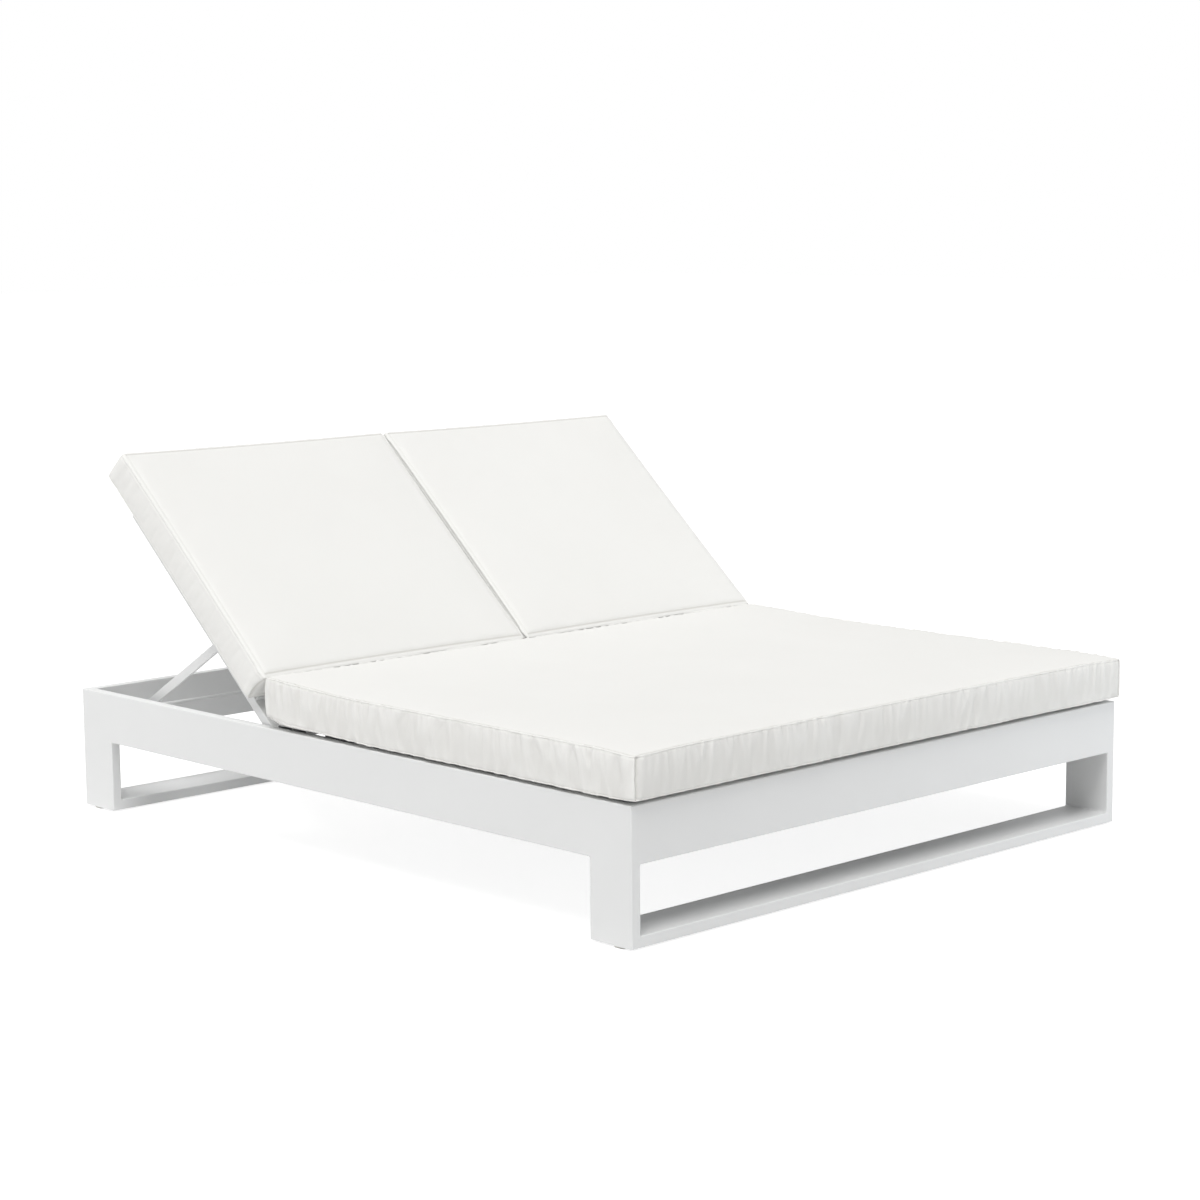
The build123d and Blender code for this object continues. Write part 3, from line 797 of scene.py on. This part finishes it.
def shape_cushion(blank, width, length, height, lip, ruffle, side_seam_shade, drawn_up, lean):
    """Turn the box into a filled cushion. Its cloth layers and its painted seam shade go on its vertices.
    """
    half_width = width / 2
    half_length = length / 2
    hold_layer = blank.verts.layers.float.new("hold")
    slack_layer = blank.verts.layers.float.new("slack")
    painted_shade_layer = blank.verts.layers.float.new("painted_seam_and_fold_shade")
    for vert in blank.verts:
        x, y, z = vert.co
        # painted shade of the seams and the corner folds goes into this layer
        vert[painted_shade_layer] = painted_seam_shade(x, y, z, half_width, half_length, height, lip, ruffle, side_seam_shade)
        on_band = abs(abs(x) - half_width) < same or abs(abs(y) - half_length) < same
        top = z > height / 2
        to_panel = min(z, height - z)
        u = x / half_width
        v = y / half_length
        out = band_move(x, y, z, half_width, half_length, height, lip, ruffle) if on_band else 0.0
        rise = 0.0
        x, y = rounded_in_plan(x, y, half_width, half_length)
        gap, outward = to_outline(x, y, half_width, half_length)
        if on_band:
            inset, depth = round_the_lip(to_panel, lip)
            out -= inset
        else:
            depth, inset = round_the_lip(gap, lip)
            out += gap - inset
            rise = panel_move(x, y, gap, lip, crown_height if top else 0.0)
        low, high = drawn_up(u, v)
        low *= 1 - ramp(gap, 0.0, bottom_roll)
        share = 1 - depth / height if top else depth / height
        x += outward.x * out - side_draw_in * u * (1 - v * v)
        y += outward.y * out - side_draw_in * v * (1 - u * u) + lean(v, share)
        z = low + share * (high - low) + (rise if top else -rise)
        vert.co = (x, y, z)
        sewn = bell(to_panel - stitch_row_share * lip, lip) if on_band else bell(gap, 2 * lip)
        vert[hold_layer] = min(1.0, max(sewn, foam_hold if on_band else ramp(gap, 0.0, held_from)))
        vert[slack_layer] = ramp(to_panel, 0.0, 2 * lip) if on_band else 0.0


print("sides drawn in:", 1000 * side_draw_in, "mm")

# %% [markdown]
# ## Settling the cloth
#
# The wrinkles could all be drawn by a formula, but cloth finds better ones by itself. The cover
# is let go for twenty frames with its seams held, a band that is cut a few percent too wide
# and a little pressure from the foam. Cloth is also cut from a second shape, the rest shape:
# there the band is less tall, so that its surplus runs round the cushion and not up and down.

# %% Cloth settings
settle_frames = 20
panel_surplus = 0.002
foam_pressure = 0.6


def add_cloth(piece, cut, band_surplus):
    """A cloth modifier for a cover that is cut to this rest shape."""
    cloth = piece.modifiers.new("settle", "CLOTH")
    settings = cloth.settings
    settings.quality = 5
    settings.mass = 0.08
    settings.tension_stiffness = 30
    settings.compression_stiffness = 30
    settings.shear_stiffness = 12
    settings.bending_stiffness = 0.6
    settings.vertex_group_mass = "held"
    settings.pin_stiffness = 1.0
    settings.rest_shape_key = cut
    settings.vertex_group_shrink = "slack"
    settings.shrink_min = -panel_surplus
    settings.shrink_max = -band_surplus
    settings.use_pressure = True
    settings.uniform_pressure_force = foam_pressure
    settings.effector_weights.gravity = 0
    cloth.collision_settings.use_collision = False
    cloth.point_cache.frame_start = 1
    cloth.point_cache.frame_end = settle_frames
    return cloth


print("frames of cloth:", settle_frames)

# %% Settle the cloth
most_travel = 0.007


def settle(piece, holds, slacks, height, band_surplus):
    """Let a cover wrinkle by itself, and keep the result in its mesh."""
    mesh = piece.data
    start = [vert.co.copy() for vert in mesh.vertices]
    held = piece.vertex_groups.new(name="held")
    slack = piece.vertex_groups.new(name="slack")
    for index, (hold, loose) in enumerate(zip(holds, slacks)):
        held.add([index], hold, "REPLACE")
        slack.add([index], loose, "REPLACE")
    piece.shape_key_add(name="sewn")
    cut = piece.shape_key_add(name="cut")
    for point, place, loose in zip(cut.data, start, slacks):
        lower = height / 2 + (place.z - height / 2) / (1 + band_surplus)
        point.co = (place.x, place.y, place.z + (lower - place.z) * loose)
    cloth = add_cloth(piece, cut, band_surplus)
    for frame_number in range(1, settle_frames + 1):
        scene.frame_set(frame_number)
    settled = piece.evaluated_get(bpy.context.evaluated_depsgraph_get()).to_mesh()
    ends = [vert.co.copy() for vert in settled.vertices]
    piece.modifiers.remove(cloth)
    piece.shape_key_clear()
    piece.vertex_groups.clear()
    travelled = 0.0
    for vert, place, end in zip(mesh.vertices, start, ends):
        move = end - place
        travelled = max(travelled, move.length)
        vert.co = place + move * min(1.0, most_travel / max(move.length, same))
    scene.frame_set(1)
    mesh.update()
    print(piece.name, "vertices:", len(ends), "furthest move:", round(travelled * 1000, 1), "mm")


# %% [markdown]
# ## Fine folds
#
# Twenty frames of cloth give the broad swells. The fine folds that the sewing leaves are closer
# together than the cells, so they come last, on the subdivided mesh. A ridged noise gives them:
# it has a sharp crest wherever plain noise crosses zero. Folds start at a seam and fade out.
# Little light gets in between deep folds, so the fabric is a little darker there.

# %% Fold pattern
fold_spacing = 0.021
fold_sharpness = 3.0
fold_lean = 0.45
fold_lean_waves = 1.7
fold_crossings = 0.7
fold_upright_waves = 9.0
fold_layers = (
    {"seed": 0.0, "spacing_share": 1.0, "strength": 1.0, "from_top": True, "reach_share": 0.55},
    {"seed": 13.0, "spacing_share": 1.3, "strength": 0.6, "from_top": False, "reach_share": 0.30},
    {"seed": 29.0, "spacing_share": 0.5, "strength": 0.4, "from_top": True, "reach_share": 0.35},
)
level_spacing_share = 0.8
level_least = 0.4
upright_least = 0.5
patch_waves = 5.0
patch_noise = (-0.35, 0.25)


def ridge(along, up, seed, spacing):
    """A sharp crest, 1 high, along winding lines that are about this far apart."""
    lean = fold_lean * noise.noise((along * fold_lean_waves, 0.0, seed + 3.0))
    across = (along + lean * up) * fold_crossings / spacing
    value = noise.noise((across, up * fold_upright_waves, seed))
    return max(0.0, 1 - fold_sharpness * abs(value))


def fold_height(along, up, height, seed, level):
    """The height of the fine folds here, as a share. Level folds run round the cushion."""
    patch = ramp(noise.noise((along * patch_waves, 0.0, seed + 41.0)), *patch_noise)
    if level:
        crest = ridge(up, along, seed, level_spacing_share * fold_spacing)
        return crest * (level_least + (1 - level_least) * patch)
    total = 0.0
    for layer in fold_layers:
        crest = ridge(along, up, seed + layer["seed"], layer["spacing_share"] * fold_spacing)
        from_seam = 1 - up / height if layer["from_top"] else up / height
        total += layer["strength"] * (crest * bell(from_seam, layer["reach_share"]))
    return (upright_least + (1 - upright_least) * patch) * total


print("fold height at one point:", round(fold_height(0.3, 0.08, 0.1, 51.0, False), 2))

# %% Add the fine folds
fold_zone = 0.02
fold_facing = (0.35, 0.85)
fold_corner_fade = (0.002, 0.022)
fold_shade = 0.30
shaded_depth = 0.002
valley_steepness = 1.6


def add_fine_folds(mesh, width, length, height, folds):
    """Push the band of a finished cover out along its fine folds, and shade deep valleys."""
    half_width = width / 2 - side_draw_in
    half_length = length / 2 - side_draw_in
    painted_shades = mesh.attributes["painted_seam_and_fold_shade"].data
    moves = []
    for vert in mesh.vertices:
        x, y, z = vert.co
        side_gap = half_width - abs(x)
        end_gap = half_length - abs(y)
        if min(side_gap, end_gap) > fold_zone:
            continue
        on_side = side_gap < end_gap
        wall = (0 if x < 0 else 1) if on_side else (2 if y < 0 else 3)
        depth, seed, level = folds[wall]
        facing = abs(vert.normal.x if on_side else vert.normal.y)
        share = fold_height(y if on_side else x, z, height, seed, level)
        near = ramp(facing, *fold_facing) * ramp(max(side_gap, end_gap), *fold_corner_fade)
        # painted shade: deep fold valleys get a darker fabric colour
        if not level and depth > shaded_depth:
            shade = fold_shade * near * max(0.0, 1 - valley_steepness * share)
            painted_shades[vert.index].value = max(painted_shades[vert.index].value, shade)
        share *= near
        moves.append((vert.index, vert.normal * depth * share))
    for index, move in moves:
        mesh.vertices[index].co += move
    print("fold points:", len(moves))


# %% [markdown]
# ## From blank to finished cover
#
# Every cushion goes through the same steps: blank, shape, cloth, one subdivision that is kept
# in the mesh, fine folds, cloth map and fabric. One function takes them in turn.

# %% Cloth map
def lay_cloth_map(mesh):
    """A UV map in metres. Each face is laid flat along the axis that it faces."""
    layer = mesh.uv_layers.new(name="cloth")
    flat_axes = ((1, 2), (0, 2), (0, 1))
    for polygon in mesh.polygons:
        facing = max(range(3), key=lambda axis: abs(polygon.normal[axis]))
        across, along = flat_axes[facing]
        for corner in polygon.loop_indices:
            point = mesh.vertices[mesh.loops[corner].vertex_index].co
            layer.data[corner].uv = (point[across], point[along])


# %% Cushion piece
def finish_piece(piece, place, body):
    """Put a piece where it belongs, dress it in fabric and let it ride on a body."""
    lay_cloth_map(piece.data)
    piece.data.transform(place)
    piece.data.materials.append(fabric)
    piece.data.shade_smooth()
    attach(piece, body)


def keep_subdivided(piece):
    """Subdivide a piece once, and keep the result as its mesh."""
    rough = piece.data
    smooth = piece.modifiers.new("smooth", "SUBSURF")
    smooth.levels = 1
    smooth.render_levels = 1
    smoothed = piece.evaluated_get(bpy.context.evaluated_depsgraph_get())
    piece.data = bpy.data.meshes.new_from_object(smoothed)
    piece.modifiers.clear()
    bpy.data.meshes.remove(rough)


def make_cushion(node, body, size, lip, place, ruffle, band_surplus, folds, side_seam_shade, drawn_up, lean):
    """A cushion that stands for its CAD solid. The side seam argument says how much shade is painted into
    its side seams.
    """
    blank = cushion_blank(*size, lip)
    shape_cushion(blank, *size, lip, ruffle, side_seam_shade, drawn_up, lean)
    hold_layer = blank.verts.layers.float["hold"]
    slack_layer = blank.verts.layers.float["slack"]
    holds = [vert[hold_layer] for vert in blank.verts]
    slacks = [vert[slack_layer] for vert in blank.verts]
    cushion = bpy.data.objects.new(node + "_cover", bpy.data.meshes.new(node + "_cover"))
    blank.to_mesh(cushion.data)
    blank.free()
    scene.collection.objects.link(cushion)
    settle(cushion, holds, slacks, size[2], band_surplus)
    keep_subdivided(cushion)
    add_fine_folds(cushion.data, *size, folds)
    finish_piece(cushion, place, body)
    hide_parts(node)
    print(node, "faces:", len(cushion.data.polygons))


# %% [markdown]
# ## Seat cushion
#
# One cushion as wide as the bed. It lies level on the slats, but its rims curl up from them, and
# near the hinge it is pushed up, most of all at the left corner. Here v runs along the cushion,
# from -1 at its foot end to 1 at its head end, and u runs across it from left to right.

# %% Rims of the seat cushion
seat_height = 0.1035
seat_off_slats = 0.0024
seat_foot_lift = 0.0028
seat_head_lift = 0.0076
seat_end_lift = 0.004
seat_corner_lift = 0.008
seat_foot_drop = 0.0040
seat_head_rise = 0.0090
seat_end_rise = 0.0015
seat_corner_rise = 0.0025


def seat_drawn_up(u, v):
    """The heights of the seat cushion's lower and upper seam."""
    near_head = ramp(v, 0.85, 1.0)
    left = ramp(-u, 0.75, 1.0)
    low = seat_off_slats + seat_foot_lift * ramp(-v, 0.9, 1.0) + seat_head_lift * ramp(v, 0.3, 0.85)
    low += near_head * (seat_end_lift + seat_corner_lift * left)
    high = seat_height - seat_foot_drop * ramp(abs(u), 0.8, 1.0) * ramp(-v, 0.8, 1.0)
    high += seat_head_rise * ramp(v, 0.45, 0.95) + near_head * (seat_end_rise + seat_corner_rise * left)
    return low, high


print("rims at the head end:", [round(1000 * rim, 1) for rim in seat_drawn_up(0.0, 1.0)], "mm")

# %% Seat cushion
seat_low, seat_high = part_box("seat_cushion")
seat_middle = (seat_low + seat_high) / 2
seat_bulge = 0.005
seat_roll = 0.001


def seat_lean(v, share):
    """The seat cushion's head end bulges at half height and rolls over at its top."""
    return ramp(v, 0.93, 1.0) * (seat_bulge * sin(pi * share) - seat_roll * share * share)


make_cushion(
    node="seat_cushion",
    body="frame",
    size=(seat_high.x - seat_low.x, seat_high.y - seat_low.y, seat_height),
    lip=0.0042,
    place=Matrix.Translation((seat_middle.x, seat_middle.y, seat_low.z)),
    ruffle=((0.0022, 1.0), (0.0022, 2.0), (0.0018, 3.0), (0.0018, 4.0)),
    band_surplus=0.07,
    folds=((0.0046, 51.0, False), (0.0046, 52.0, False), (0.0042, 53.0, False), (0.0042, 54.0, False)),
    side_seam_shade=1.0,
    drawn_up=seat_drawn_up,
    lean=seat_lean,
)

# %% [markdown]
# ## Back cushions
#
# Each back has a cushion of its own that rides with it. It is made lying flat and then turned
# to the back's tilt about the hinge, which the record gives. The end at the hinge carries the
# most slack, because the cushion slides down onto it.

# %% Ends of the back cushions
back_hollow = 0.008
back_hollow_middle = 0.028
back_lip_out = 0.0085
back_top_lean = 0.011


def back_lean(v, share):
    """How far an end of a back cushion leans to the head. share is 0 at its back, 1 at its front."""
    hollow = back_hollow * (1 - share) + back_hollow_middle * share * (1 - share)
    lip_out = back_lip_out * share * share * ramp(-v, 0.975, 1.0)
    top_lean = back_top_lean * (1 - share) * ramp(v, 0.75, 1.0)
    return top_lean + hollow * ramp(-v, 0.9, 1.0) - lip_out


print("lower lip stands out:", 1000 * back_lip_out, "mm")

# %% Back cushions
back_start = 0.081
back_length = 0.745
back_height = 0.092
back_rise = 0.0248
back_droop = 0.004


def make_back_cushion(joint, outer):
    """The cushion of the back that this joint tilts. outer is -1 for the left one, 1 for the right."""

    def back_drawn_up(u, v):
        """The outer edge isn't held by the back's frame, so it hangs down a little."""
        return -back_droop * ramp(outer * u, 0.8, 1.0) * (1 - v * v), back_height

    body = joint["child"]
    node = body + "_cushion"
    low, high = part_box(node)
    tilt = -radians(joint["range_deg"][0])
    make_cushion(
        node=node,
        body=body,
        size=(high.x - low.x, back_length, back_height),
        lip=0.0085,
        place=(
            Matrix.Translation(joint["pos_m"])
            @ Matrix.Rotation(tilt, 4, "X")
            @ Matrix.Translation(((low.x + high.x) / 2, back_start + back_length / 2, back_rise))
        ),
        ruffle=((0.0006, 5.0), (0.0006, 6.0), (0.0010, 7.0), (0.0008, 8.0)),
        band_surplus=0.015,
        folds=((0.0008, 61.0, False), (0.0008, 62.0, False), (0.0034, 63.0, True), (0.0010, 64.0, False)),
        side_seam_shade=0.25,
        drawn_up=back_drawn_up,
        lean=back_lean,
    )


for joint in frame["joints"]:
    if joint["parent"] == "frame":
        make_back_cushion(joint, -1 if joint["child"] == "back_left" else 1)
